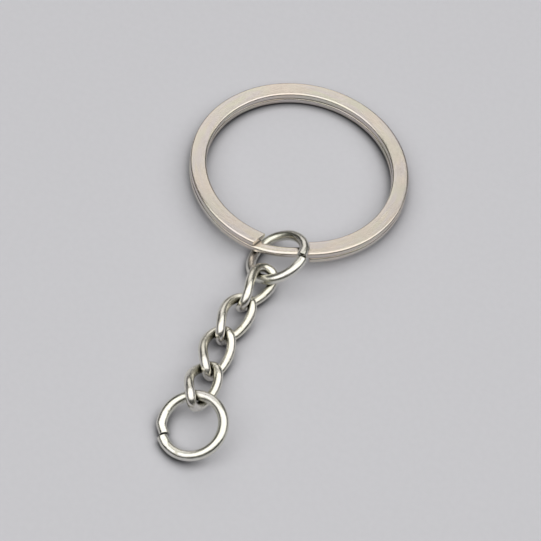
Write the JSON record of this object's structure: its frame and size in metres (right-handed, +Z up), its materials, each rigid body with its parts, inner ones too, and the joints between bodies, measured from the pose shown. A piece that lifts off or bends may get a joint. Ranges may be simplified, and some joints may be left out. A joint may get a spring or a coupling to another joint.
{
  "type": "split key ring",
  "caption": "Flat split key ring with a leaning jump ring, a short twisted curb chain and an open jump ring at its end for a charm or tag.",
  "frame": {"origin": "middle of the footprint, on the surface that the key ring lies on", "axes": "+Z up, +Y from the end ring towards the split ring, +X to the right"},
  "size_m": [0.0305, 0.0638, 0.0056],
  "materials": {
    "split_ring_nickel": "bright nickel plating on flat steel wire, softly brushed faces",
    "jump_ring_nickel": "bright nickel plating on round iron wire",
    "chain_nickel": "bright nickel plating on round iron wire"
  },
  "bodies": {
    "split_ring": {"split_ring": "split_ring_nickel"},
    "connector_ring": {"connector_ring": "jump_ring_nickel"},
    "link_1": {"link_1": "chain_nickel"},
    "link_2": {"link_2": "chain_nickel"},
    "link_3": {"link_3": "chain_nickel"},
    "link_4": {"link_4": "chain_nickel"},
    "end_ring": {"end_ring": "jump_ring_nickel"}
  },
  "joints": [
    {"name": "connector_turn", "type": "hinge", "parent": "split_ring", "child": "connector_ring", "pos_m": [0.00183, 0.00121, 0.00281], "axis": [-0.5321, 0.0279, 0.8462], "range_deg": [-45, 60]},
    {"name": "link_1_lift", "type": "hinge", "parent": "connector_ring", "child": "link_1", "pos_m": [0.00034, -0.00236, 0.00199], "axis": [0.7574, -0.431, 0.4905], "range_deg": [-100, 0]},
    {"name": "link_2_roll", "type": "hinge", "parent": "link_1", "child": "link_2", "pos_m": [0.00076, -0.00679, 0.00258], "axis": [0.6719, -0.7403, -0.0216], "range_deg": [-28, 0]},
    {"name": "link_3_lift", "type": "hinge", "parent": "link_2", "child": "link_3", "pos_m": [-0.00097, -0.01203, 0.00218], "axis": [0.9011, -0.2685, 0.3406], "range_deg": [-28, 26]},
    {"name": "link_4_sweep", "type": "hinge", "parent": "link_3", "child": "link_4", "pos_m": [-0.00097, -0.01912, 0.00193], "axis": [-0.4018, -0.0339, 0.9151], "range_deg": [0, 60]},
    {"name": "end_ring_lift", "type": "hinge", "parent": "link_4", "child": "end_ring", "pos_m": [-0.00056, -0.02316, 0.0032], "axis": [0.9654, -0.0111, 0.2604], "range_deg": [-14, 90]}
  ]
}
